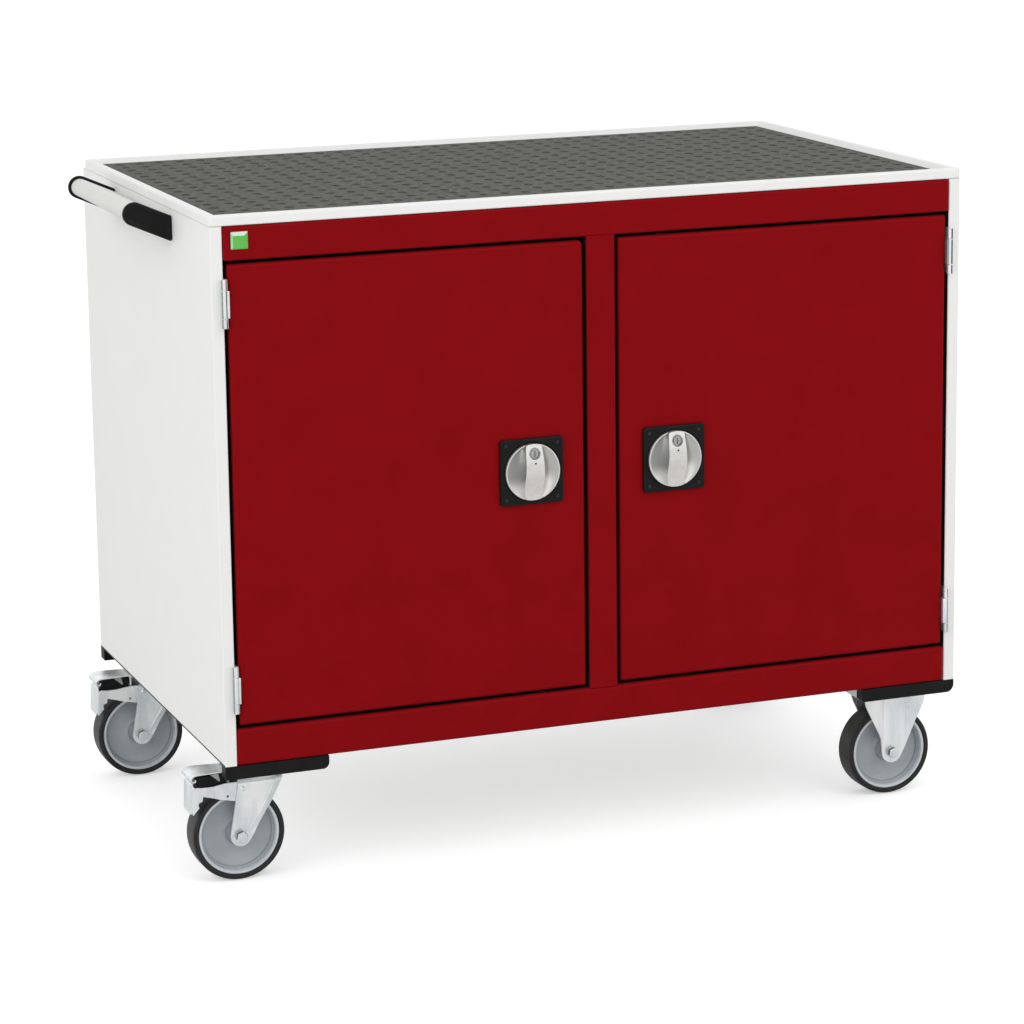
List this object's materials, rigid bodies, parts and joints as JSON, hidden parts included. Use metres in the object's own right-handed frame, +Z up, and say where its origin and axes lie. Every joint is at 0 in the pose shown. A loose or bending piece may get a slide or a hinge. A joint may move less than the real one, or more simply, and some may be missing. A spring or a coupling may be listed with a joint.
{
  "type": "mobile workbench",
  "caption": "Steel two-door workshop cupboard on castors, with a mat-lined tray on top and a side push handle.",
  "frame": {"origin": "on the floor, under the middle of the whole object's box", "axes": "+X along the width, away from the push handle; +Y from the doors to the back; +Z up"},
  "size_m": [1.116, 0.671, 0.887],
  "materials": {
    "light_grey_powder_coat": "satin powder coat with a faint grain",
    "red_powder_coat": "satin powder coat",
    "ribbed_rubber_mat": "matt, with a small staggered dash pattern",
    "black_moulded_plastic": "moulded, slightly matt",
    "green_moulded_plastic": "glossy domed plastic",
    "zinc_plated_steel": "bright zinc plating",
    "satin_silver_metal": "satin silver",
    "grey_hub_plastic": "smooth grey moulding",
    "black_tyre_rubber": "smooth black rubber"
  },
  "bodies": {
    "cabinet": {"side_panel_left": "light_grey_powder_coat", "side_panel_right": "light_grey_powder_coat", "back_panel": "light_grey_powder_coat", "floor_panel": "light_grey_powder_coat", "centre_partition": "light_grey_powder_coat", "top_fascia": "red_powder_coat", "mullion": "red_powder_coat", "bottom_rail": "red_powder_coat", "shelf_left": "light_grey_powder_coat", "shelf_right": "light_grey_powder_coat", "top_tray": "light_grey_powder_coat", "tray_mat": "ribbed_rubber_mat", "badge": "green_moulded_plastic", "hinge_frame_leaf_left_upper": "zinc_plated_steel", "hinge_frame_leaf_left_lower": "zinc_plated_steel", "hinge_frame_leaf_right_upper": "zinc_plated_steel", "hinge_frame_leaf_right_lower": "zinc_plated_steel", "push_handle": "light_grey_powder_coat", "handle_cap_front": "black_moulded_plastic", "handle_cap_rear": "black_moulded_plastic", "castor_channel_left": "light_grey_powder_coat", "castor_channel_right": "light_grey_powder_coat", "channel_cap_front_left": "black_moulded_plastic", "channel_cap_front_right": "black_moulded_plastic", "channel_cap_rear_left": "black_moulded_plastic", "channel_cap_rear_right": "black_moulded_plastic", "swivel_plate_front_left": "zinc_plated_steel", "swivel_plate_rear_left": "zinc_plated_steel", "fixed_fork_front_right": "zinc_plated_steel", "fixed_fork_rear_right": "zinc_plated_steel"},
    "door_left": {"door_left": "red_powder_coat", "hinge_door_leaf_left_upper": "zinc_plated_steel", "hinge_door_leaf_left_lower": "zinc_plated_steel", "escutcheon_left": "black_moulded_plastic"},
    "knob_left": {"lock_knob_left": "satin_silver_metal", "latch_spindle_left": "zinc_plated_steel"},
    "key_left": {"key_cylinder_left": "satin_silver_metal"},
    "rod_upper_left": {"lock_rod_upper_left": "zinc_plated_steel"},
    "rod_lower_left": {"lock_rod_lower_left": "zinc_plated_steel"},
    "door_right": {"door_right": "red_powder_coat", "hinge_door_leaf_right_upper": "zinc_plated_steel", "hinge_door_leaf_right_lower": "zinc_plated_steel", "escutcheon_right": "black_moulded_plastic"},
    "knob_right": {"lock_knob_right": "satin_silver_metal", "latch_spindle_right": "zinc_plated_steel"},
    "key_right": {"key_cylinder_right": "satin_silver_metal"},
    "rod_upper_right": {"lock_rod_upper_right": "zinc_plated_steel"},
    "rod_lower_right": {"lock_rod_lower_right": "zinc_plated_steel"},
    "swivel_front": {"swivel_fork_front_left": "zinc_plated_steel"},
    "pedal_front": {"brake_pedal_front_left": "zinc_plated_steel"},
    "wheel_front_left": {"tyre_front_left": "black_tyre_rubber", "wheel_hub_front_left": "grey_hub_plastic"},
    "wheel_front_right": {"tyre_front_right": "black_tyre_rubber", "wheel_hub_front_right": "grey_hub_plastic"},
    "swivel_rear": {"swivel_fork_rear_left": "zinc_plated_steel"},
    "pedal_rear": {"brake_pedal_rear_left": "zinc_plated_steel"},
    "wheel_rear_left": {"tyre_rear_left": "black_tyre_rubber", "wheel_hub_rear_left": "grey_hub_plastic"},
    "wheel_rear_right": {"tyre_rear_right": "black_tyre_rubber", "wheel_hub_rear_right": "grey_hub_plastic"}
  },
  "joints": [
    {"name": "door_left_hinge", "type": "hinge", "parent": "cabinet", "child": "door_left", "pos_m": [-0.47725, -0.319, 0.5255], "axis": [0, 0, -1], "range_deg": [0, 180]},
    {"name": "knob_left_turn", "type": "hinge", "parent": "door_left", "child": "knob_left", "pos_m": [-0.06925, -0.3206, 0.5255], "axis": [0, 1, 0], "range_deg": [0, 90]},
    {"name": "key_left_turn", "type": "hinge", "parent": "knob_left", "child": "key_left", "pos_m": [-0.06925, -0.3355, 0.551], "axis": [0, 1, 0], "range_deg": [0, 90]},
    {"name": "rod_upper_left_slide", "type": "slide", "parent": "door_left", "child": "rod_upper_left", "axis": [0, 0, 1], "range_m": [0, 0.018]},
    {"name": "rod_lower_left_slide", "type": "slide", "parent": "door_left", "child": "rod_lower_left", "axis": [0, 0, -1], "range_m": [0, 0.018]},
    {"name": "door_right_hinge", "type": "hinge", "parent": "cabinet", "child": "door_right", "pos_m": [0.54075, -0.319, 0.5255], "axis": [0, 0, 1], "range_deg": [0, 180]},
    {"name": "knob_right_turn", "type": "hinge", "parent": "door_right", "child": "knob_right", "pos_m": [0.13275, -0.3206, 0.5255], "axis": [0, 1, 0], "range_deg": [0, 90]},
    {"name": "key_right_turn", "type": "hinge", "parent": "knob_right", "child": "key_right", "pos_m": [0.13275, -0.3355, 0.551], "axis": [0, 1, 0], "range_deg": [0, 90]},
    {"name": "rod_upper_right_slide", "type": "slide", "parent": "door_right", "child": "rod_upper_right", "axis": [0, 0, 1], "range_m": [0, 0.018]},
    {"name": "rod_lower_right_slide", "type": "slide", "parent": "door_right", "child": "rod_lower_right", "axis": [0, 0, -1], "range_m": [0, 0.018]},
    {"name": "swivel_front_turn", "type": "hinge", "parent": "cabinet", "child": "swivel_front", "pos_m": [-0.42325, -0.2395, 0.1429], "axis": [0, 0, 1], "continuous": true},
    {"name": "pedal_front_press", "type": "hinge", "parent": "swivel_front", "child": "pedal_front", "pos_m": [-0.45725, -0.2395, 0.1265], "axis": [0, -1, 0], "range_deg": [0, 7]},
    {"name": "wheel_front_left_spin", "type": "hinge", "parent": "swivel_front", "child": "wheel_front_left", "pos_m": [-0.46125, -0.2395, 0.0625], "axis": [0, 1, 0], "continuous": true},
    {"name": "wheel_front_right_spin", "type": "hinge", "parent": "cabinet", "child": "wheel_front_right", "pos_m": [0.48675, -0.2395, 0.0625], "axis": [0, 1, 0], "continuous": true},
    {"name": "swivel_rear_turn", "type": "hinge", "parent": "cabinet", "child": "swivel_rear", "pos_m": [-0.42325, 0.2605, 0.1429], "axis": [0, 0, 1], "continuous": true},
    {"name": "pedal_rear_press", "type": "hinge", "parent": "swivel_rear", "child": "pedal_rear", "pos_m": [-0.45725, 0.2605, 0.1265], "axis": [0, -1, 0], "range_deg": [0, 7]},
    {"name": "wheel_rear_left_spin", "type": "hinge", "parent": "swivel_rear", "child": "wheel_rear_left", "pos_m": [-0.46125, 0.2605, 0.0625], "axis": [0, 1, 0], "continuous": true},
    {"name": "wheel_rear_right_spin", "type": "hinge", "parent": "cabinet", "child": "wheel_rear_right", "pos_m": [0.48675, 0.2605, 0.0625], "axis": [0, 1, 0], "continuous": true}
  ],
  "couplings": [
    {"joint": "rod_upper_left_slide", "follows": "knob_left_turn", "m_per_rad": 0.01145},
    {"joint": "rod_lower_left_slide", "follows": "knob_left_turn", "m_per_rad": 0.01145},
    {"joint": "rod_upper_right_slide", "follows": "knob_right_turn", "m_per_rad": 0.01145},
    {"joint": "rod_lower_right_slide", "follows": "knob_right_turn", "m_per_rad": 0.01145}
  ]
}
